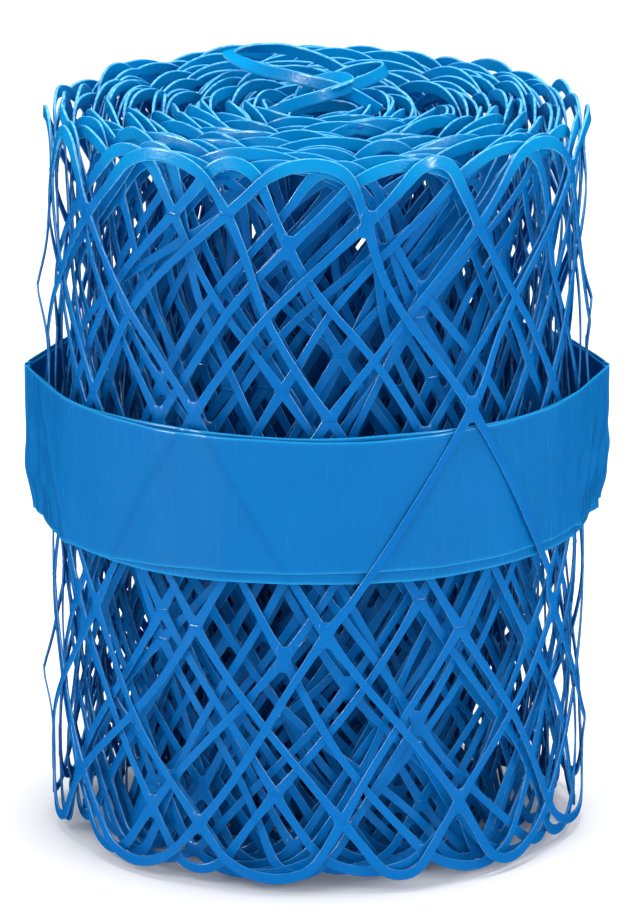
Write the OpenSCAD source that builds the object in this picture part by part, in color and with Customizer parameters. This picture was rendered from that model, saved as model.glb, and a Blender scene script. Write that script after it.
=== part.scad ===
// A roll of extruded net tube for guarding young trees. The tube is laid flat, wound up
// round an open eye and held by two lay-flat film bands. Pieces are cut from its outer end.
// Origin: middle of the roll on the surface that it stands on. +Z is up, -Y is the front.

/* [Net tube] */
// Lay-flat width of the tube, which is the height of the roll
tube_width = 300; // [220:5:400]
// Thickness of the flattened tube, both walls and their crossings together
tube_thick = 2.4; // [2:0.1:2.6]
// Radius at the two corners of the lower fold
lower_fold_r = 0.8; // [0.5:0.05:0.9]

/* [Winding] */
// Largest radius of the roll
roll_r = 108.7; // [105:0.1:130]
// Distance from one turn to the next
turn_pitch = 2.95; // [2.7:0.05:3]
// Direction from the roll's middle to the tube's outer end, in degrees from +X
outer_end_at = 130; // [90:5:180]
// Arc of the loose outer end, in degrees
outer_end_arc = 40; // [20:5:60]
// Arc of the loose inner end in the eye, in degrees
inner_end_arc = 120; // [60:5:170]

/* [Bands] */
// Height of the inner band's lower edge above the base
inner_band_z = 127.5; // [60:0.5:130]
// Width of the inner band's film
inner_band_w = 61.5; // [50:0.5:80]
// Width of the outer band's film
outer_band_w = 52.5; // [30:0.5:50]
// Thickness of each band, with the wrinkles of its film
band_thick = 0.8; // [0.5:0.1:1]
// Room between the net and the inner band
net_gap = 0.5; // [0.4:0.1:1]
// Room between the two bands
band_gap = 0.3; // [0.3:0.1:0.6]
// How far the creased ears stand out past the round of the inner band
ear_reach = 6.2; // [4:0.1:10]
// Radius inside the ear's crease
ear_r = 2; // [1:0.1:3]

/* [Hidden] */
$fn = 96;
turns = 32;
first_r = roll_r - tube_thick / 2; // middle of the tube's thickness, in the first half turn
pitch_step = turn_pitch / 4;       // half the distance between the half turns' two centres
inner_band_r = roll_r + net_gap;
outer_band_r = inner_band_r + band_thick + band_gap;
outer_band_z = inner_band_z + (inner_band_w - outer_band_w) / 2;
ear_x = inner_band_r + ear_reach - ear_r; // middle of the ear's crease
ear_turn = acos((inner_band_r - ear_r) / ear_x); // where the round of the band becomes straight

function turn_name(k) = str("net_turn_", k < 10 ? "0" : "", k);

// The flattened tube cut across: a round fold at the top, and a lower fold with a flat
// that the roll stands on
module tube_section(r) {
    upper_z = tube_width - tube_thick / 2;
    corner_r = tube_thick / 2 - lower_fold_r;
    translate([r, upper_z]) circle(d = tube_thick);
    translate([r - tube_thick / 2, lower_fold_r])
        square([tube_thick, upper_z - lower_fold_r]);
    translate([r - corner_r, 0]) square([2 * corner_r, lower_fold_r]);
    for (side = [-1, 1])
        translate([r + side * corner_r, lower_fold_r]) circle(r = lower_fold_r);
}

// Half turn number j of the winding. Each is half a pitch tighter than the one before,
// round a centre that changes side, so that the halves run into each other smoothly.
// A positive arc runs from the half turn's start, and a negative one back from its end.
module half_turn(j, arc = 180) {
    side = j % 2 == 0 ? 1 : -1;
    translate([side * pitch_step, 0])
        rotate([0, 0, (side > 0) == (arc > 0) ? 0 : 180])
            rotate_extrude(angle = arc) tube_section(first_r - j * turn_pitch / 2);
}

// Sets the winding so that its outside stays round and the step of its outer end is behind
module wound() {
    rotate([0, 0, outer_end_at]) translate([-pitch_step, -pitch_step, 0]) children();
}

// One full turn of the tube, counted inwards
module net_turn(k) {
    color(k % 2 == 0 ? "#0a6cb4" : "#0b78c4") wound() {
        half_turn(2 * k - 2, arc = k == 1 ? outer_end_arc - 180 : 180);
        half_turn(2 * k - 1);
    }
}

// The tube's cut end on the outside of the roll
module outer_end() {
    color("#2a93d8") wound() half_turn(0, arc = outer_end_arc);
}

// The tube's other end, curled in the eye
module inner_end() {
    color("#2a93d8") wound() half_turn(2 * turns, arc = inner_end_arc);
}

// The outline of a band that is pulled round the roll and creased at both sides.
// grow is its distance outside the inner band's own inner face.
module band_outline(grow) {
    round_r = inner_band_r + grow;
    crease_r = ear_r + grow;
    circle(r = round_r, $fn = 180);
    for (side = [0, 180]) rotate(side) {
        translate([ear_x, 0]) circle(r = crease_r);
        polygon([
            [round_r * cos(ear_turn), -round_r * sin(ear_turn)],
            [ear_x + crease_r * cos(ear_turn), -crease_r * sin(ear_turn)],
            [ear_x + crease_r * cos(ear_turn), crease_r * sin(ear_turn)],
            [round_r * cos(ear_turn), round_r * sin(ear_turn)]
        ]);
    }
}

module film_band(grow, z, w) {
    translate([0, 0, z]) linear_extrude(w) difference() {
        band_outline(grow + band_thick);
        band_outline(grow);
    }
}

module inner_band() {
    color("#1580cc") film_band(0, inner_band_z, inner_band_w);
}

module outer_band() {
    color("#1b8ad6") film_band(outer_band_r - inner_band_r, outer_band_z, outer_band_w);
}

outer_end();
for (k = [1:turns]) net_turn(k);
inner_end();
inner_band();
outer_band();
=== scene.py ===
import math

import bpy
import numpy as np
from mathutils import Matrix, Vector


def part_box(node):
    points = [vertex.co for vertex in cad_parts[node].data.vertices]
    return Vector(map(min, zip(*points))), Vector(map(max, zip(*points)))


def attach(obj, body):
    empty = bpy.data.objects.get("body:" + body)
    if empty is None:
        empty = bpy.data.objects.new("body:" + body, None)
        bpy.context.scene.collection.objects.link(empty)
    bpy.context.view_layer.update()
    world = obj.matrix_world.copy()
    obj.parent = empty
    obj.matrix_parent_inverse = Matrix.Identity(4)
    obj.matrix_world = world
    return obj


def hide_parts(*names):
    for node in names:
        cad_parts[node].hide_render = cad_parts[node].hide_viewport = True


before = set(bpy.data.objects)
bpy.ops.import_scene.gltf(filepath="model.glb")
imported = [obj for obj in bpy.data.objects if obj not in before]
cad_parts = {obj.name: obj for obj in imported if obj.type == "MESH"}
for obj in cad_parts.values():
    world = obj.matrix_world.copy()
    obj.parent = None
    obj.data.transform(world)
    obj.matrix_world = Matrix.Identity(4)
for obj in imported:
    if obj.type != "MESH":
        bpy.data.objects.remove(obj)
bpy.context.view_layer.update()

fullTurn = 2 * math.pi
print("frame loaded:", len(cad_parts), "nodes")


def colour(hexValue, alpha=1.0):
    # sRGB hex to the linear values that the shaders want
    parts = [int(hexValue[i:i + 2], 16) / 255 for i in (1, 3, 5)]
    linear = [p / 12.92 if p <= 0.04045 else ((p + 0.055) / 1.055) ** 2.4 for p in parts]
    return (*linear, alpha)


def addNode(tree, kind, settings=None, inputs=None):
    node = tree.nodes.new(kind)
    for name, value in (settings or {}).items():
        setattr(node, name, value)
    for key, value in (inputs or {}).items():
        if isinstance(value, bpy.types.NodeSocket):
            tree.links.new(value, node.inputs[key])
        else:
            node.inputs[key].default_value = value
    return node


def newObject(name, mesh):
    obj = bpy.data.objects.new(name, mesh)
    bpy.context.scene.collection.objects.link(obj)
    return obj


def pieceName(node):
    first, *others = node.split("_")
    return first + "".join(word.capitalize() for word in others)


def fillAttribute(mesh, name, kind, values):
    layer = mesh.attributes.new(name, kind, "POINT")
    part = "vector" if kind == "FLOAT_VECTOR" else "value"
    layer.data.foreach_set(part, np.asarray(values, dtype=np.float32).ravel())


def smoothStep(low, high, x):
    t = np.clip((x - low) / (high - low), 0, 1)
    return t * t * (3 - 2 * t)


def softAbove(value, low, softness):
    # value kept above low, with a rounded corner where it arrives there
    over = value - low
    return low + 0.5 * (over + np.sqrt(over ** 2 + softness ** 2))


def fromSide(angle):
    # how far an angle lies from the nearer of the roll's two sides, where the bands are creased
    return np.abs((angle + math.pi / 2) % math.pi - math.pi / 2)


winding = {
    "rollRadius": 0.1087,       # outermost face of the net
    "pitch": 0.00295,           # from one turn to the next
    "tubeThick": 0.0024,        # both walls laid flat
    "startAngle": math.radians(130),  # where the outer end lies, from +X
    "outerEndArc": math.radians(40),
    "innerEndArc": math.radians(120),
    "turns": sum(name.startswith("net_turn_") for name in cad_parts),
    "tableRows": 20001,
}


def halfTurnRadius(j):
    # of the flat tube's middle, on half turn number j from the outside
    return winding["rollRadius"] - winding["tubeThick"] / 2 - j * winding["pitch"] / 2


def windingPoint(turned, offset):
    # place and outward direction for an angle wound inwards from the outer end; each half
    # turn is an arc, and every other one has its centre half a pitch to the side
    j = np.floor(turned / math.pi)
    side = np.where(j % 2 == 0, 1, -1)
    step = winding["pitch"] / 4
    radius = halfTurnRadius(j) + offset
    x = side * step - step + radius * np.cos(turned)
    y = -step + radius * np.sin(turned)
    c, s = math.cos(winding["startAngle"]), math.sin(winding["startAngle"])
    out = np.stack([np.cos(turned) * c - np.sin(turned) * s,
                    np.cos(turned) * s + np.sin(turned) * c], axis=-1)
    return np.stack([x * c - y * s, x * s + y * c], axis=-1), out


def windingTable():
    # tube length wound off against the angle wound, finely enough to interpolate
    last = fullTurn * winding["turns"] + winding["innerEndArc"]
    turned = np.linspace(0, last, winding["tableRows"])
    middle = (turned[1:] + turned[:-1]) / 2
    lengths = np.diff(turned) * halfTurnRadius(np.floor(middle / math.pi))
    return turned, np.concatenate([[0], np.cumsum(lengths)])


tableTurned, tableRun = windingTable()


def turnedAt(run):
    return np.interp(run, tableRun, tableTurned)


def runAt(turned):
    return np.interp(turned, tableTurned, tableRun)


band = {
    "innerRadius": 0.1092,      # inner face of the inner band where it lies round
    "earReach": 0.0062,
    "creaseRadius": 0.002,
    "wall": 0.0008,             # room that each band has
    "gap": 0.0003,
}
earX = band["innerRadius"] + band["earReach"] - band["creaseRadius"]
earTurn = math.acos((band["innerRadius"] - band["creaseRadius"]) / earX)


def bandRadius(angle, grow):
    # distance from the axis to a band that stands grow outside the inner band's inner face
    fold = fromSide(angle)
    straight = (band["innerRadius"] + grow) / np.cos(np.clip(earTurn - fold, 0, None))
    crease = band["creaseRadius"] + grow
    inside = np.clip(crease ** 2 - (earX * np.sin(fold)) ** 2, 0, None)
    rounded = earX * np.cos(fold) + np.sqrt(inside)
    return np.where((fold < earTurn) & (inside > 0), np.minimum(straight, rounded), straight)


net = {
    "height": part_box("net_turn_01")[1][2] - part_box("net_turn_01")[0][2],
    "strandsEachWay": 4,
    "lead": 0.431,              # tube length in which a strand goes once round the tube
    "girth": 0.6416,            # once round the tube, before it was pressed flat
    "apex": 0.1455,             # mean height of a strand's turn at a fold, from mid height
    "apexShare": 0.9,           # of that height: where a strand has taken up all its stretch
    "foldRadius": 0.021,        # how a strand rounds a fold on the outermost turns
    "deepFoldRadius": 0.046,    # and further in, where the tube was wound more tightly
    "deepRuns": (1.3, 3.2),     # tube lengths between which it gets there
    "foldRadii": (0.010, 0.060),
    "foldZone": (0.045, 0.13),  # heights from mid height between which fold bends set in
    "shear": 0.015,             # how far the upper edge has been dragged along
    "shearZone": (0.075, 0.15),
    "steepen": 0.0042,          # strands run steepest across the middle
    "steepenTurn": 1.53 * math.pi,
    "reach": 0.0022,            # how much further the cells near the folds reach
    "reachZone": (0.05, 0.13),
    "lowerLift": 0.6,           # how much less uneven the lower edge is
    "wallOffset": 0.00062,      # from the middle of the flat tube to either wall
    "wallsMeet": 0.009,         # how near the fold the walls draw together
    "filmRoom": 0.0009,         # what strands leave free below the film
    "earRoom": 0.0052,          # how much further out they may be below its ears
    "earRoomAngle": math.radians(6),
    "filmSoftness": 0.0006,
    "lowest": 0.0022,
    "lowestSoftness": 0.0015,
    "bowOut": 0.0004,           # how far strands bow between junctions, outwards
    "bowAlong": 0.0007,
    "lean": 0.10,
    "girthDrift": 0.036,        # how far the flat tube has turned on itself, deeper in the roll
    "driftRuns": (0.5, 1.3),
    "matchAngle": math.radians(171),  # where a junction of the upper middle row lies
    "step": 0.0024,             # tube length between the points of a strand, where it shows
    "innerStep": 0.0032,
    "shownTurns": (3, 4),       # outermost and innermost turns that show
    "spareSpans": 24,
    "seed": 41,
}

girth = net["girth"]
halfFlat = girth / 4            # half the width of the tube laid flat
cellRound = girth / (2 * net["strandsEachWay"])
cellLead = net["lead"] / (2 * net["strandsEachWay"])
matchRun = net["matchAngle"] * halfTurnRadius(0)
slope = girth / net["lead"]
secant = math.sqrt(1 + slope * slope)

strand = {
    "width": 0.0031,
    "thick": 0.0008,
    "edgeRadius": 0.00024,
    "edgeFlat": 0.00025,        # how far in from the rounded edge the flat face ends
    "cornerCut": 0.3,           # of the radius: where a rounded corner is half way round
    "junctionGrow": 0.40,       # how much wider a strand is at a junction
    "junctionReach": 0.0085,
    "junctionFall": 1.5,
    "foldGrow": 0.62,           # and at a fold
    "foldReach": (0.040, 0.012),
    "lowerFoldShare": 0.5,
    "foldLean": 0.10,           # at the upper fold the ribbon leans so that its face looks up
}

draw = np.random.default_rng(net["seed"])
spanCount = int(tableRun[-1] / cellLead) + net["spareSpans"]
spanShape = (2, net["strandsEachWay"], spanCount)
bowOut = draw.normal(0, net["bowOut"], spanShape)
bowAlong = draw.normal(0, net["bowAlong"], spanShape)
leanOfSpan = draw.normal(0, net["lean"], spanShape)


def waves(count, size, shortest, longest):
    # one smooth random field over the tube: it runs on unbroken round the girth
    return [(size * draw.uniform(0.5, 1) / math.sqrt(count), draw.uniform(shortest, longest),
             int(draw.integers(-3, 4)), draw.uniform(0, fullTurn)) for _ in range(count)]


# how many waves, their size, and their shortest and longest length along the tube
fields = {
    "out": waves(9, 0.0006, 0.05, 0.16),
    "up": waves(7, 0.0016, 0.09, 0.30),
    "along": waves(7, 0.0026, 0.14, 0.40),
    "alongAtFold": waves(7, 0.0100, 0.13, 0.40),
    "lift": waves(8, 0.0026, 0.20, 0.90),
    "drift": waves(6, 1.0, 0.35, 1.6),
    "radius": waves(8, 0.0110, 0.12, 0.34),
}


def field(name, run, around=0.0):
    total = np.zeros_like(run)
    for size, length, count, phase in fields[name]:
        total += size * np.sin(fullTurn * (run / length + count * around / girth) + phase)
    return total


def girthShare(around):
    # 0 at the lower fold and 0.5 at the upper one; the outer wall lies between them
    return (around / girth + 0.25) % 1


def placeOnTube(run, around, extraOut=0.0, extraUp=0.0):
    # from tube length and distance round the girth (0 is the outer wall's middle)
    # to a point in the roll and the outward direction there
    around = around + net["girthDrift"] * smoothStep(*net["driftRuns"], run) * field("drift", run)
    part = girthShare(around)
    toTop = np.abs(part - 0.5) * girth
    toBottom = np.minimum(part, 1 - part) * girth
    fromFold = np.minimum(toTop, toBottom)
    isUpper = toTop < toBottom
    # each strand rounds the fold on an arc
    deepen = (net["deepFoldRadius"] - net["foldRadius"]) * smoothStep(*net["deepRuns"], run)
    radii = net["foldRadius"] + np.where(isUpper, deepen, 0.0)
    radii = np.clip(radii + field("radius", run), *net["foldRadii"])
    bend = radii * slope * slope / secant
    cap = radii * secant - np.sqrt(np.clip(radii ** 2 - (fromFold / slope) ** 2, 0, None))
    height = halfFlat - np.where(fromFold < bend, cap, fromFold)
    stretch = net["apex"] / (halfFlat - radii * (secant - 1))
    height = height * (1 + (stretch - 1) * smoothStep(0, net["apexShare"], height / net["apex"]))
    atFold = smoothStep(*net["foldZone"], height)
    drag = np.where(isUpper, net["shear"] * smoothStep(*net["shearZone"], height), 0.0)
    height = height + net["steepen"] * np.sin(height / net["apex"] * net["steepenTurn"])
    height = height + net["reach"] * smoothStep(*net["reachZone"], height)
    height = np.where(isUpper, height, -height) + field("up", run, around) + extraUp
    run = run + drag + field("along", run, around) + atFold * field("alongAtFold", run)
    height = height + field("lift", run) * np.where(isUpper, 1.0, net["lowerLift"])
    wall = np.where(part < 0.5, 1.0, -1.0) * np.tanh(fromFold / net["wallsMeet"])
    out = wall * net["wallOffset"] + field("out", run, around) + extraOut
    flat, direction = windingPoint(turnedAt(run), out)
    # strands stay below the film, with more room below its ears
    angle = np.arctan2(flat[..., 1], flat[..., 0])
    ears = net["earRoom"] * np.exp(-(fromSide(angle) / net["earRoomAngle"]) ** 2)
    most = band["innerRadius"] - net["filmRoom"] + ears
    spare = most - np.hypot(flat[..., 0], flat[..., 1])
    radius = most - softAbove(spare, 0, net["filmSoftness"])
    z = softAbove(net["height"] / 2 + height, net["lowest"], net["lowestSoftness"])
    points = np.stack([radius * np.cos(angle), radius * np.sin(angle), z], axis=-1)
    return points, direction, fromFold, isUpper


def strandRound(way, index, run):
    # where a strand is round the girth; the two ways wind opposite to each other
    turnsOfGirth = (run - matchRun) / net["lead"]
    start = cellRound / 2 + 2 * index * cellRound
    return girth * (turnsOfGirth if way == 0 else -turnsOfGirth) + start


spring = {
    "out": 0.0075,
    "sideZone": (0.42, 0.05),   # angles from the roll's side between which it sets in
    "heightZone": (0.105, 0.06),
}


def springOut(turned, around):
    # strands of the outermost wall that have sprung out at the roll's two sides
    part = girthShare(around)
    first = (turned < fullTurn) & (part < 0.5)
    height = 4 * (part - 0.25) * net["apex"]
    out = spring["out"] * smoothStep(*spring["sideZone"], fromSide(winding["startAngle"] + turned))
    return np.where(first, out * smoothStep(*spring["heightZone"], np.abs(height)), 0)


overFilm = {
    "junctionAngle": math.radians(301),
    "junctionHeight": 0.190,
    "lift": 0.0044,
    "reach": math.radians(8),   # how far a strand may stray from its line
    "topZone": (0.222, 0.197),
    "footZone": (0.108, 0.122),
}


def liftOverFilm(way, points, direction, runs, around):
    # the two strands down from one junction right of the front lie over the film bands
    angle = np.arctan2(points[:, 1], points[:, 0])
    z = points[:, 2]
    lean = (1 if way == 0 else -1) * (z - overFilm["junctionHeight"]) / (slope * winding["rollRadius"])
    line = overFilm["junctionAngle"] + lean
    near = np.abs((angle - line + math.pi) % fullTurn - math.pi) < overFilm["reach"]
    isFirst = (turnedAt(runs) < fullTurn) & (girthShare(around) < 0.5)
    span = smoothStep(*overFilm["topZone"], z) * smoothStep(*overFilm["footZone"], z)
    points[:, :2] += direction * np.where(near & isFirst, overFilm["lift"] * span, 0)[:, None]


def spanOf(around):
    # number of the span between two junctions, and the share of it that is passed
    cell = (around - cellRound / 2) / cellRound
    span = np.floor(cell).astype(int)
    return span, cell - span


def strandPoints(way, index, runs):
    around = strandRound(way, index, runs)
    span, share = spanOf(around)
    bow = np.sin(math.pi * share) ** 2
    drawn = way, index, span % spanCount  # the row of drawn bows that is this span's
    out = bow * (bowOut[drawn] + springOut(turnedAt(runs), around))
    points, direction, fromFold, isUpper = placeOnTube(runs, around, out, bow * bowAlong[drawn])
    liftOverFilm(way, points, direction, runs, around)
    toJunction = np.minimum(share, 1 - share) * cellRound * secant / slope
    fall = (toJunction / strand["junctionReach"]) ** strand["junctionFall"]
    atFold = smoothStep(*strand["foldReach"], fromFold) * np.where(isUpper, 1, strand["lowerFoldShare"])
    grow = 1 + np.maximum(strand["junctionGrow"] * np.exp(-fall), strand["foldGrow"] * atFold)
    lean = np.where(isUpper, strand["foldLean"], 0) * atFold + leanOfSpan[drawn] * bow
    return points, np.concatenate([direction, lean[:, None]], axis=1), grow


web = {
    "arm": 0.0015,
    "rise": 0.00064,
    "bevel": 0.00016,
    "inset": 0.93,              # its flat face against its outline
    "fillets": (0.0040, 0.0028),  # in the corners above and below, and at either side
    "cornerPoints": 4,
    "faceEdge": 0.8,            # acrossTape where its flat face ends
    "slopeReach": 0.003,        # how far to either side a strand's slope is taken
    "slopes": (0.12, 1.35),
    "squeezes": (0.15, 1.3),
}


def junctionPlaces(runLow, runHigh):
    first = math.ceil((runLow - matchRun) / cellLead)
    last = math.floor((runHigh - matchRun) / cellLead)
    runs, around = [], []
    for k in range(first, last + 1):
        for i in range(net["strandsEachWay"]):
            runs.append(matchRun + k * cellLead)
            around.append(cellRound * (0.5 + k % 2 + 2 * i))
    runs, around = np.array(runs), np.array(around)
    points, direction, _, _ = placeOnTube(runs, around)
    liftOverFilm(0, points, direction, runs, around)
    # the web is squeezed and turned to suit the two strands' own slopes there
    along = np.stack([-direction[:, 1], direction[:, 0]], axis=1)
    reach = web["slopeReach"]
    angles = []
    for way in (1, -1):
        ends = [placeOnTube(runs + k * reach, around + k * way * reach * slope)[0] for k in (-1, 1)]
        step = ends[1] - ends[0]
        angles.append(np.arctan2(way * step[:, 2], np.sum(step[:, :2] * along, axis=1)))
    squeeze = np.tan(np.clip((angles[0] + angles[1]) / 2, *web["slopes"])) / slope
    outward = np.concatenate([direction, np.zeros((len(runs), 1))], axis=1)
    return points, outward, np.clip(squeeze, *web["squeezes"]), (angles[0] - angles[1]) / 2


def junctionMesh():
    # the web that fills the corners where two strands cross: a flat star with hollow sides
    outline = []
    for k in range(4):
        middle = k * math.pi / 2
        gap = math.atan(slope) if k % 2 == 0 else math.pi / 2 - math.atan(slope)
        fillet = web["fillets"][k % 2]
        away = (web["arm"] + fillet) / math.sin(gap)
        for t in np.linspace(math.pi * 1.5 - gap, math.pi * 0.5 + gap, web["cornerPoints"]):
            outline.append((away * math.cos(middle) + fillet * math.cos(middle + t),
                            away * math.sin(middle) + fillet * math.sin(middle + t)))
    n = len(outline)
    rise, side = web["rise"], web["rise"] - web["bevel"]
    verts = []
    for inset, z in ((web["inset"], rise), (1.0, side), (1.0, -side), (web["inset"], -rise)):
        verts += [(x * inset, y * inset, z) for x, y in outline]
    verts += [(0, 0, rise), (0, 0, -rise)]
    faces = []
    for i in range(n):
        j = (i + 1) % n
        faces.append((i, j, 4 * n))
        faces += [(r * n + j, r * n + i, (r + 1) * n + i, (r + 1) * n + j) for r in range(3)]
        faces.append((3 * n + j, 3 * n + i, 4 * n + 1))
    mesh = bpy.data.meshes.new("junction")
    mesh.from_pydata(verts, [], faces)
    faceEdge = [web["faceEdge"]] * n
    fillAttribute(mesh, "acrossTape", "FLOAT", faceEdge + [1.0] * (2 * n) + faceEdge + [0.0, 0.0])
    return mesh


def tapeProfile():
    # a strand cut across: flat faces and small rounded edges, drawn round once
    w, t, r = strand["width"] / 2, strand["thick"] / 2, strand["edgeRadius"]
    cut = r * strand["cornerCut"]
    corner = [(t, w - r - strand["edgeFlat"]), (t, w - r), (t - cut, w - cut), (t - r, w)]
    points = corner + [(-x, y) for x, y in corner[::-1]]
    points += [(-x, -y) for x, y in points]
    curve = bpy.data.curves.new("tapeProfile", "CURVE")
    curve.dimensions = "3D"
    spline = curve.splines.new("POLY")
    spline.points.add(len(points) - 1)
    for point, (x, y) in zip(spline.points, points):
        point.co = (x, y, 0, 1)
    spline.use_cyclic_u = True
    return curve


def netTree():
    # sweeps the strands as tapes and sets a web on every junction
    tree = bpy.data.node_groups.new("netTubeStrands", "GeometryNodeTree")
    face = tree.interface
    for name, kind in (("Geometry", "Geometry"), ("Strand Width", "Float"), ("Tape", "Object"),
                       ("Junction", "Object"), ("Plastic", "Material")):
        face.new_socket(name, in_out="INPUT", socket_type="NodeSocket" + kind)
    face.new_socket("Geometry", in_out="OUTPUT", socket_type="NodeSocketGeometry")
    given = tree.nodes.new("NodeGroupInput").outputs

    def named(name, kind="FLOAT"):
        reader = addNode(tree, "GeometryNodeInputNamedAttribute", {"data_type": kind}, {"Name": name})
        return reader.outputs["Attribute"]

    def shape(key):
        source = addNode(tree, "GeometryNodeObjectInfo", None, {"Object": given[key]})
        return source.outputs["Geometry"]

    place = addNode(tree, "GeometryNodeInputPosition")
    split = addNode(tree, "ShaderNodeSeparateXYZ", None, {0: place.outputs[0]})
    across = addNode(tree, "ShaderNodeMath", {"operation": "DIVIDE"},
                     {0: split.outputs["Y"], 1: given["Strand Width"]})
    double = addNode(tree, "ShaderNodeMath", {"operation": "MULTIPLY"}, {0: across.outputs[0], 1: 2.0})
    profile = addNode(tree, "GeometryNodeStoreNamedAttribute", {"data_type": "FLOAT"},
                      {"Geometry": shape("Tape"), "Name": "acrossTape", "Value": double.outputs[0]})
    parts = addNode(tree, "GeometryNodeSeparateGeometry", {"domain": "POINT"},
                    {"Geometry": given["Geometry"], "Selection": named("isJunction")})
    lines = addNode(tree, "GeometryNodeMeshToCurve", None, {"Mesh": parts.outputs["Inverted"]})
    facing = addNode(tree, "GeometryNodeSetCurveNormal", {"mode": "FREE"},
                     {"Curve": lines.outputs[0], "Normal": named("outward", "FLOAT_VECTOR")})
    tapes = addNode(tree, "GeometryNodeCurveToMesh", None,
                    {"Curve": facing.outputs[0], "Profile Curve": profile.outputs[0],
                     "Scale": named("grow"), "Fill Caps": True})
    upright = addNode(tree, "FunctionNodeAxesToRotation", {"primary_axis": "Z", "secondary_axis": "Y"},
                      {"Primary Axis": named("outward", "FLOAT_VECTOR"),
                       "Secondary Axis": (0.0, 0.0, 1.0)})
    about = addNode(tree, "FunctionNodeAxisAngleToRotation", None,
                    {"Axis": (0.0, 0.0, 1.0), "Angle": named("turned")})
    turn = addNode(tree, "FunctionNodeRotateRotation", {"rotation_space": "LOCAL"},
                   {"Rotation": upright.outputs[0], "Rotate By": about.outputs[0]})
    size = addNode(tree, "ShaderNodeCombineXYZ", None, {"X": 1.0, "Y": named("grow"), "Z": 1.0})
    webs = addNode(tree, "GeometryNodeInstanceOnPoints", None,
                   {"Points": parts.outputs["Selection"], "Instance": shape("Junction"),
                    "Rotation": turn.outputs[0], "Scale": size.outputs[0]})
    joined = addNode(tree, "GeometryNodeJoinGeometry")
    tree.links.new(tapes.outputs[0], joined.inputs[0])
    tree.links.new(webs.outputs[0], joined.inputs[0])
    smooth = addNode(tree, "GeometryNodeSetShadeSmooth", None,
                     {"Geometry": joined.outputs[0], "Shade Smooth": True})
    real = addNode(tree, "GeometryNodeRealizeInstances", None, {"Geometry": smooth.outputs[0]})
    painted = addNode(tree, "GeometryNodeSetMaterial", None,
                      {"Geometry": real.outputs[0], "Material": given["Plastic"]})
    addNode(tree, "NodeGroupOutput", None, {0: painted.outputs[0]})
    return tree


def setInput(modifier, name, value):
    for item in modifier.node_group.interface.items_tree:
        if item.item_type == "SOCKET" and item.in_out == "INPUT" and item.name == name:
            modifier[item.identifier] = value


def sweepTapes(name, lines, junctions):
    # lines are (points, outward, grow) for each strand; junctions are (points, outward,
    # squeeze, turn), and the squeeze travels as grow
    count = 0
    edges = []
    for points, _, _ in lines:
        edges += [(count + i, count + i + 1) for i in range(len(points) - 1)]
        count += len(points)
    verts, outward, grow = [np.concatenate(part) for part in zip(*lines, junctions[:3])]
    mesh = bpy.data.meshes.new(name + "Lines")
    mesh.from_pydata(verts.tolist(), edges, [])
    fillAttribute(mesh, "outward", "FLOAT_VECTOR", outward)
    fillAttribute(mesh, "grow", "FLOAT", grow)
    fillAttribute(mesh, "isJunction", "FLOAT", np.arange(len(verts)) >= count)
    fillAttribute(mesh, "turned", "FLOAT", np.concatenate([np.zeros(count), junctions[3]]))
    maker = newObject(name + "Maker", mesh)
    modifier = maker.modifiers.new("strands", "NODES")
    modifier.node_group = strandTree
    setInput(modifier, "Strand Width", strand["width"])
    setInput(modifier, "Tape", tapePattern)
    setInput(modifier, "Junction", junctionPattern)
    setInput(modifier, "Plastic", netPlastic)
    made = maker.evaluated_get(bpy.context.evaluated_depsgraph_get())
    result = newObject(name, bpy.data.meshes.new_from_object(made))
    result.data.name = name
    bpy.data.objects.remove(maker)
    bpy.data.meshes.remove(mesh)
    return result


def startMaterial(name):
    material = bpy.data.materials.new(name)
    material.use_nodes = True
    tree = material.node_tree
    tree.nodes.clear()
    shader = addNode(tree, "ShaderNodeBsdfPrincipled")
    addNode(tree, "ShaderNodeOutputMaterial", None, {"Surface": shader.outputs[0]})
    return material, tree, shader


def mixed(tree, share, first, second):
    # sockets 0, 6 and 7 are the share and the two colours, and output 2 is their mix
    node = addNode(tree, "ShaderNodeMix", {"data_type": "RGBA"}, {0: share, 6: first, 7: second})
    return node.outputs[2]


def noise(tree, place, scale, detail):
    node = addNode(tree, "ShaderNodeTexNoise", None, {"Vector": place, "Scale": scale, "Detail": detail})
    return node.outputs["Fac"]


def mapped(tree, value, source, target=(0.0, 1.0), interpolation="LINEAR"):
    # a value moved from one range to another
    node = addNode(tree, "ShaderNodeMapRange", {"interpolation_type": interpolation},
                   {"Value": value, "From Min": source[0], "From Max": source[1],
                    "To Min": target[0], "To Max": target[1]})
    return node.outputs[0]


def attribute(tree, name):
    return addNode(tree, "ShaderNodeAttribute", {"attribute_name": name}).outputs["Fac"]


def finishPlastic(tree, shader, base, grain, look):
    # colour, uneven gloss and fine relief, which come from one grain
    tree.links.new(base, shader.inputs["Base Color"])
    tree.links.new(mapped(tree, grain, look["grainRange"], look["roughness"]), shader.inputs["Roughness"])
    bump = addNode(tree, "ShaderNodeBump", None,
                   {"Strength": look["bump"], "Distance": look["bumpDepth"], "Height": grain})
    tree.links.new(bump.outputs[0], shader.inputs["Normal"])
    shader.inputs["IOR"].default_value = look["ior"]
    shader.inputs["Specular IOR Level"].default_value = look["specular"]


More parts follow.
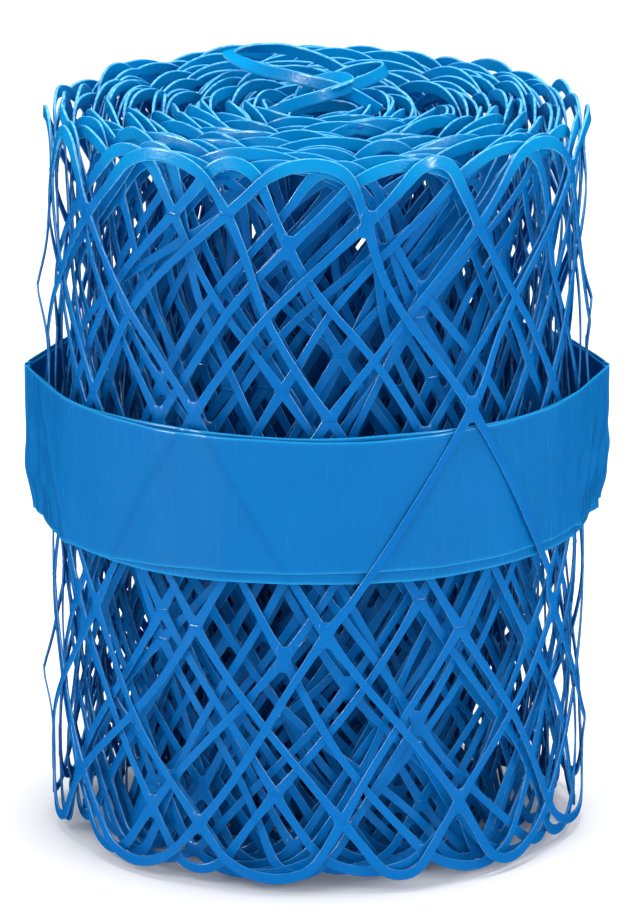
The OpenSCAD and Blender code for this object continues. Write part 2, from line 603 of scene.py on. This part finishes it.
def extrudedPolyethylene():
    # HDPE net, extruded through turning dies: glossy, with fine lines drawn along each
    # strand, pale edges that are partly stretch whitening and partly painted highlight, and painted top
    # light on the upper folds
    look = {
        "deep": "#005ca6",
        "bright": "#006cb6",
        "stretched": "#0090cc",     # painted top light: paler cyan where a strand has been drawn round the upper fold
        # pale edges: partly plastic whitened where it stretched, partly a painted highlight
        "edge": "#76c4ec",
        "patch": 28.0,              # per metre: colour patches about 35 mm long
        "topZone": (0.25, 0.30),    # heights over which the painted top light and the paler upper edge set in
        "grownZone": (1.0, 1.8),
        "edgeWhiteningAndHighlightShares": (0.25, 0.80),  # how pale the edges are low down and at the top; the rise towards the top is a painted highlight
        "rimZone": (0.87, 1.0),
        "dashes": 420.0,            # the pale edges come and go about every 2 mm
        "dashRange": (0.35, 0.6),
        "dashShares": (0.35, 1.0),
        "grain": 900.0,             # die lines about 1 mm apart, coarser than life so that they show
        "grainRange": (0.3, 0.7),
        "roughness": (0.16, 0.28),
        "bump": 0.25,
        "bumpDepth": 0.0002,
        "ior": 1.54,
        "specular": 0.12,
    }
    material, tree, shader = startMaterial("extrudedPolyethylene")
    place = addNode(tree, "ShaderNodeTexCoord").outputs["Object"]
    height = addNode(tree, "ShaderNodeSeparateXYZ", None, {0: place}).outputs["Z"]
    upper = mapped(tree, height, look["topZone"], interpolation="SMOOTHSTEP")
    patches = noise(tree, place, look["patch"], detail=3.0)
    base = mixed(tree, patches, colour(look["deep"]), colour(look["bright"]))
    # painted top light: the upper folds, where strands grow wide, turn paler cyan
    drawn = mapped(tree, attribute(tree, "grow"), look["grownZone"], (0.0, upper))
    base = mixed(tree, drawn, base, colour(look["stretched"]))
    # pale rims: stress whitening broken into dashes, plus a painted highlight that grows towards the top
    across = addNode(tree, "ShaderNodeMath", {"operation": "ABSOLUTE"}, {0: attribute(tree, "acrossTape")})
    edgeWhiteningAndHighlight = mapped(tree, upper, (0.0, 1.0), look["edgeWhiteningAndHighlightShares"])
    rimWhiteningAndHighlight = mapped(tree, across.outputs[0], look["rimZone"], (0.0, edgeWhiteningAndHighlight), "SMOOTHSTEP")
    dashes = noise(tree, place, look["dashes"], detail=2.0)
    broken = mapped(tree, dashes, look["dashRange"], look["dashShares"])
    pale = addNode(tree, "ShaderNodeMath", {"operation": "MULTIPLY"}, {0: rimWhiteningAndHighlight, 1: broken})
    base = mixed(tree, pale.outputs[0], base, colour(look["edge"]))
    finishPlastic(tree, shader, base, noise(tree, place, look["grain"], detail=2.0), look)
    return material


def blownFilm():
    # blue LDPE film, blown and creased flat: satin gloss, faint lines along the way it was
    # drawn and soft cloudy patches
    look = {
        "deep": "#0061a4",
        "bright": "#006cb2",
        "cutEdgeHighlight": "#1c8ecc",
        "shaded": "#004c8a",        # painted shade where a strand presses against the film from inside
        "cloud": 30.0,
        "lines": 900.0,             # draw lines about 1 mm apart
        "lineStretch": (1.0, 1.0, 0.06),
        "grainRange": (0.3, 0.7),
        "roughness": (0.24, 0.28),
        "bump": 0.04,
        "bumpDepth": 0.0002,
        "ior": 1.51,
        "specular": 0.12,
    }
    material, tree, shader = startMaterial("blownFilm")
    place = addNode(tree, "ShaderNodeTexCoord").outputs["Object"]
    cloud = noise(tree, place, look["cloud"], detail=4.0)
    base = mixed(tree, cloud, colour(look["deep"]), colour(look["bright"]))
    # painted shade over the strands below the film
    base = mixed(tree, attribute(tree, "strandShadeBelow"), base, colour(look["shaded"]))
    # painted highlight along the film's cut edges
    base = mixed(tree, attribute(tree, "filmEdgeHighlight"), base, colour(look["cutEdgeHighlight"]))
    stretched = addNode(tree, "ShaderNodeMapping", None, {"Vector": place, "Scale": look["lineStretch"]})
    finishPlastic(tree, shader, base, noise(tree, stretched.outputs[0], look["lines"], detail=3.0), look)
    return material


netPlastic = extrudedPolyethylene()
filmPlastic = blownFilm()
tapePattern = newObject("tapePattern", tapeProfile())
junctionPattern = newObject("junctionPattern", junctionMesh())
strandTree = netTree()

# strands that have come loose round the eye: places along each and how far its face leans
# upwards, in degrees
looseStrands = {
    "net_turn_19": [
        (0.020, 0.030, 0.294, 0), (0.006, 0.044, 0.301, 10), (-0.011, 0.056, 0.3045, 20),
        (-0.027, 0.057, 0.3050, 45), (-0.0355, 0.049, 0.3050, 85), (-0.032, 0.036, 0.3045, 60),
        (-0.022, 0.020, 0.3040, 25), (-0.007, 0.006, 0.3035, 10), (0.012, -0.003, 0.300, 0),
        (0.026, -0.004, 0.292, 0),
    ],
    "net_turn_27": [
        (-0.024, -0.010, 0.290, 0), (-0.012, -0.016, 0.297, 5), (0.004, -0.012, 0.3010, 10),
        (0.019, 0.004, 0.3030, 15), (0.027, 0.019, 0.3040, 25), (0.024, 0.026, 0.3040, 20),
        (0.012, 0.024, 0.302, 5), (-0.002, 0.016, 0.297, 0),
    ],
    "inner_end": [
        (-0.010, 0.006, 0.290, 0), (-0.004, 0.012, 0.299, 15), (0.008, 0.010, 0.3030, 30),
        (0.013, -0.001, 0.3030, 40), (0.006, -0.010, 0.301, 20), (-0.006, -0.009, 0.295, 0),
        (-0.011, 0.000, 0.286, 0),
    ],
}
loosePoints = 12                # between one place of a loose strand and the next


def looseLine(rows):
    # a smooth curve through the places, with the same number of points in each stretch
    rows = np.array(rows)
    rows = np.concatenate([2 * rows[:1] - rows[1:2], rows, 2 * rows[-1:] - rows[-2:-1]])
    points = []
    for i in range(1, len(rows) - 2):
        a, b, c, d = rows[i - 1:i + 3]
        for t in np.linspace(0, 1, loosePoints, endpoint=False):
            points.append(0.5 * (2 * b + (c - a) * t + (2 * a - 5 * b + 4 * c - d) * t ** 2
                                 + (3 * b - a - 3 * c + d) * t ** 3))
    points = np.array(points)
    along = np.gradient(points[:, :3], axis=0)
    along /= np.linalg.norm(along, axis=1)[:, None]
    level = np.cross(along, [0, 0, 1.0])
    level /= np.linalg.norm(level, axis=1)[:, None]
    lean = np.radians(points[:, 3:4])
    outward = np.cos(lean) * level + np.sin(lean) * np.cross(level, along)
    return points[:, :3], outward, np.full(len(points), 1.0 + strand["foldGrow"])


def netPiece(node, turnedLow, turnedHigh):
    runLow, runHigh = float(runAt(turnedLow)), float(runAt(turnedHigh))
    outerShown, innerShown = net["shownTurns"]
    shows = turnedLow < fullTurn * outerShown or turnedHigh > fullTurn * (winding["turns"] - innerShown)
    step = net["step"] if shows else net["innerStep"]
    runs = np.linspace(runLow, runHigh, int((runHigh - runLow) / step))
    lines = [strandPoints(way, index, runs) for way in (0, 1) for index in range(net["strandsEachWay"])]
    if node in looseStrands:
        lines.append(looseLine(looseStrands[node]))
    # a junction just where two pieces meet belongs to the second one only
    piece = sweepTapes(pieceName(node), lines, junctionPlaces(runLow, runHigh - 1e-6))
    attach(piece, "roll")
    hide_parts(node)
    return piece


netPiece("outer_end", 0.0, winding["outerEndArc"])
for k in range(winding["turns"]):
    start = winding["outerEndArc"] if k == 0 else fullTurn * k
    netPiece(f"net_turn_{k + 1:02d}", start, fullTurn * (k + 1))
innerStart = fullTurn * winding["turns"]
netPiece("inner_end", innerStart, innerStart + winding["innerEndArc"])
for pattern in (tapePattern, junctionPattern):
    bpy.data.objects.remove(pattern)


film = {
    "thickness": 0.00022,
    "columns": 740,
    "rows": 62,
    "gather": 0.16,             # how much closer together the columns are at the creases
    "edgeMargin": 0.0008,       # from the edges of the band's solid to the cut edges
    "edgeWander": 0.0003,
    "bellies": 0.00026,
    "waveSets": 9,              # how many waves are added up for bellies, creases and edges
    "bellyWaves": (7, 26),      # numbers of waves round the roll, fewest and most
    "bellySlant": 9,            # and how far they lean, per metre of height
    "wanderWaves": (2, 10),
    "creaseDepth": 0.00002,
    "creaseWaves": (60, 150),
    "creaseSlant": 260,
    "crumple": 0.0011,          # of slack film near the ears
    "crumpleSets": 8,
    "crumpleSpread": 2.8,       # the sum of its waves is divided by this
    "crumpleWaves": (16, 60),
    "crumpleSlant": 420,
    "slackZone": (0.62, 0.12),  # angles from the ear, and shares of the height below
    "slackHeights": (0.95, 0.35),
    "tuck": 0.0026,             # how far the foot is drawn in below the ears
    "tuckHeights": (0.3, 0.0),
    "leastRoom": -0.0001,       # slack film lies no further in than this
    "frontRise": 0.6,           # share of the rise that the upper edge has at the front
    "leftZone": (0.2, 0.95),
    "cutEdgeHighlightZone": (0.955, 1.0),    # where the painted highlight along the cut edges shows
    "shade": 0.75,
    "ridgesEnd": 0.4,           # share of an ear's turn at which ridges have died out
}
ridge = {
    "height": 0.0015,           # where a strand lies below the film
    "width": 0.0024,            # half of it, at the foot
    "flank": 0.0015,
    "tentHeight": 0.0005,       # and the film's rise further round it
    "tentWidth": 0.008,
    "weights": (0.25, 0.3),     # of every ridge, and added to half of them
    "step": 0.0012,
    "lastTurn": 1.02,
    "middle": 0.158,            # height of the film's middle, and as far as its ridges reach
    "reach": 0.05,
    "radii": (0.1035, 0.1095),
    "blocks": 12,
}


def ridgeLines():
    # the outermost wall's strands, unrolled to angle and height, with a weight each
    rows = []
    runs = np.arange(0.0, float(runAt(fullTurn * ridge["lastTurn"])), ridge["step"])
    for way in (0, 1):
        for index in range(net["strandsEachWay"]):
            points = strandPoints(way, index, runs)[0]
            around = strandRound(way, index, runs)
            span = spanOf(around)[0]
            # a fixed, uneven choice of the strong ridges
            isStrong = (span * 7 + way * 3 + index * 5) % 10 < 5
            weight = ridge["weights"][0] + ridge["weights"][1] * isStrong
            angle = np.arctan2(points[:, 1], points[:, 0])
            radius = np.hypot(points[:, 0], points[:, 1])
            keep = (radius > ridge["radii"][0]) & (radius < ridge["radii"][1])
            keep &= (girthShare(around) < 0.5) & (np.abs(points[:, 2] - ridge["middle"]) < ridge["reach"])
            rows.append(np.stack([angle, points[:, 2], weight], axis=1)[keep])
    return np.concatenate(rows)


ridges = ridgeLines()


def ridgeRise(angle, z):
    # how far the strands raise the film, and how near below it they are, which sets the painted shade
    rise, below = np.zeros_like(angle), np.zeros_like(angle)
    for shift in (-fullTurn, 0, fullTurn):
        for rows in np.array_split(ridges, ridge["blocks"]):
            sideways = (angle[:, None] - rows[:, 0] - shift) * band["innerRadius"]
            far = np.hypot(sideways, z[:, None] - rows[:, 1])
            flank = smoothStep(ridge["width"], ridge["width"] - ridge["flank"], far)
            tent = ridge["tentHeight"] * np.exp(-far / ridge["tentWidth"])
            rise = np.maximum(rise, ((ridge["height"] * flank + tent) * rows[:, 2]).max(axis=1))
            below = np.maximum(below, (flank * rows[:, 2]).max(axis=1))
    return rise, below


def bandPiece(node, shape):
    low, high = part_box(node)
    draw = np.random.default_rng(shape["seed"])
    columns, rows = film["columns"], film["rows"]
    share = np.arange(columns) / columns
    angle = fullTurn * share - film["gather"] * np.sin(2 * fullTurn * share)
    z = np.linspace(low[2] + film["edgeMargin"], high[2] - film["edgeMargin"], rows)
    a, h = np.meshgrid(angle, z, indexing="ij")
    fromMiddle = h - z.mean()
    ear = smoothStep(earTurn, earTurn * film["ridgesEnd"], fromSide(a))
    rise, below = [part.reshape(a.shape) * (1 - ear) for part in ridgeRise(a.ravel(), h.ravel())]
    bellies, wander, creases, crumple = [np.zeros_like(a) for _ in range(4)]
    waveSpread = math.sqrt(film["waveSets"])
    for _ in range(film["waveSets"]):
        phase = draw.uniform(0, fullTurn)
        slant = draw.uniform(-film["bellySlant"], film["bellySlant"])
        count = int(draw.integers(*film["bellyWaves"]))
        bellies += np.sin(count * a + slant * fromMiddle + phase) / waveSpread
        count = int(draw.integers(*film["wanderWaves"]))
        wander += np.sin(count * a + draw.uniform(0, fullTurn)) / waveSpread
        count = int(draw.integers(*film["creaseWaves"]))
        slant = draw.uniform(-film["creaseSlant"], film["creaseSlant"])
        creases += np.sin(count * a + slant * fromMiddle + phase) / waveSpread
    for _ in range(film["crumpleSets"]):
        count = int(draw.integers(*film["crumpleWaves"]))
        slant = draw.uniform(-film["crumpleSlant"], film["crumpleSlant"])
        phase = draw.uniform(0, fullTurn)
        crumple += np.sin(count * a + slant * fromMiddle + phase) / film["crumpleSpread"]
    # crumpled and drawn in near the ears, where the film is slack
    upShare = (h - z[0]) / (z[-1] - z[0])
    nearEar = smoothStep(*film["slackZone"], fromSide(a))
    slack = nearEar * smoothStep(*film["slackHeights"], upShare)
    radius = bandRadius(a, shape["grow"]) + rise + film["bellies"] * (bellies + 1)
    radius = radius + film["creaseDepth"] * creases
    radius = radius - film["crumple"] * slack * (crumple / 2 + shape["crumpleMiddle"])
    radius = radius - film["tuck"] * nearEar ** 3 * smoothStep(*film["tuckHeights"], upShare)
    # slack film still lies outside the net, so that the band slides freely
    radius = np.maximum(radius, band["innerRadius"] + shape["grow"] + film["leastRoom"])
    # the edges do not lie level all round
    sideShare = film["frontRise"] + (1 - film["frontRise"]) * np.cos(a) ** 2
    toLeft = smoothStep(*film["leftZone"], -np.cos(a))
    h = h + shape["topRise"] * sideShare * upShare ** 3 - shape["footDrop"] * toLeft * (1 - upShare) ** 3
    edge = np.abs(2 * upShare - 1)
    h = h + film["edgeWander"] * wander * np.sign(upShare - 0.5) * edge ** 4
    verts = np.stack([radius * np.cos(a), radius * np.sin(a), h], axis=-1).reshape(-1, 3)
    faces = []
    for i in range(columns):
        j = (i + 1) % columns
        faces += [(i * rows + k, j * rows + k, j * rows + k + 1, i * rows + k + 1) for k in range(rows - 1)]
    mesh = bpy.data.meshes.new(pieceName(node))
    mesh.from_pydata(verts.tolist(), [], faces)
    mesh.polygons.foreach_set("use_smooth", [True] * len(mesh.polygons))
    # painted highlight along the cut edges
    fillAttribute(mesh, "filmEdgeHighlight", "FLOAT", smoothStep(*film["cutEdgeHighlightZone"], edge))
    # painted shade where strands lie below the film
    fillAttribute(mesh, "strandShadeBelow", "FLOAT", film["shade"] * below)
    mesh.materials.append(filmPlastic)
    piece = newObject(pieceName(node), mesh)
    wall = piece.modifiers.new("filmThickness", "SOLIDIFY")
    wall.thickness = film["thickness"]
    wall.offset = 1.0
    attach(piece, node)
    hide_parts(node)


# grow is from the inner face of the room below to the film; the rise and drop are of the
# upper edge, and of the lower edge at the left
filmInset = 0.0003
bands = {
    "inner_band": {"grow": filmInset, "seed": 5, "topRise": -0.0010, "footDrop": 0.0,
                   "crumpleMiddle": 0.5},
    "outer_band": {"grow": filmInset + band["wall"] + band["gap"], "seed": 6, "topRise": 0.0042,
                   "footDrop": 0.0042, "crumpleMiddle": 0.0},
}
for node, shape in bands.items():
    bandPiece(node, shape)
print("bands made")


studio = {
    "floor": "#f4f4f4",
    "floorRoughness": 0.6,
    "floorReach": 6,
    "worldStrength": (0.95, 1.0),  # as light, and as seen
    "distance": 2.6,
    "sensor": 36,
    "tall": 0.371,              # height of the view at the roll's axis
    "farthest": 50,
    "elevation": math.radians(15.6),
    "aim": (0.0012, 0.0, 0.1476),
}


def paleFloor():
    material, tree, shader = startMaterial("paleFloor")
    shader.inputs["Base Color"].default_value = colour(studio["floor"])
    shader.inputs["Roughness"].default_value = studio["floorRoughness"]
    mesh = bpy.data.meshes.new("floor")
    r = studio["floorReach"]
    mesh.from_pydata([(-r, -r, 0), (r, -r, 0), (r, r, 0), (-r, r, 0)], [], [(0, 1, 2, 3)])
    mesh.materials.append(material)
    floor = newObject("floor", mesh)
    floor.visible_glossy = False


def softbox(name, place, size, power, forShine=False):
    # lights for the shine show only as reflections, and the others never do
    light = bpy.data.lights.new(name, "AREA")
    light.shape = "RECTANGLE"
    light.size, light.size_y = size
    light.energy = power
    obj = newObject(name, light)
    obj.location = place
    obj.visible_glossy = forShine
    obj.visible_diffuse = not forShine
    obj.rotation_euler = (Vector(studio["aim"]) - Vector(place)).to_track_quat("-Z", "Y").to_euler()


def paleWorld():
    world = bpy.data.worlds.new("paleRoom")
    bpy.context.scene.world = world
    world.use_nodes = True
    tree = world.node_tree
    tree.nodes.clear()
    seen = addNode(tree, "ShaderNodeLightPath").outputs["Is Camera Ray"]
    strength = mapped(tree, seen, (0.0, 1.0), studio["worldStrength"])
    sky = addNode(tree, "ShaderNodeBackground", None, {"Color": colour("#ffffff"), "Strength": strength})
    addNode(tree, "ShaderNodeOutputWorld", None, {"Surface": sky.outputs[0]})
    world.cycles_visibility.glossy = False


def addCamera():
    data = bpy.data.cameras.new("camera")
    data.sensor_width = studio["sensor"]
    data.lens = studio["sensor"] * studio["distance"] / studio["tall"]
    data.clip_end = studio["farthest"]
    camera = newObject("camera", data)
    e = studio["elevation"]
    back = Vector((0, -math.cos(e), math.sin(e)))
    camera.location = Vector(studio["aim"]) + back * studio["distance"]
    camera.rotation_euler = (-back).to_track_quat("-Z", "Y").to_euler()
    bpy.context.scene.camera = camera


paleFloor()
paleWorld()
softbox("keyLight", (-1.3, -1.5, 1.7), (0.9, 0.9), 13)
softbox("fillLight", (1.6, -1.2, 1.1), (0.9, 1.2), 8)
softbox("topLight", (0.1, 0.1, 2.0), (1.0, 1.0), 34)
softbox("shineLeft", (-1.57, -0.90, 0.74), (0.35, 0.35), 100, forShine=True)
softbox("shineRight", (1.45, -1.10, 0.80), (0.25, 0.25), 45, forShine=True)
addCamera()
bpy.context.scene.view_settings.view_transform = "Standard"
print("stage set")
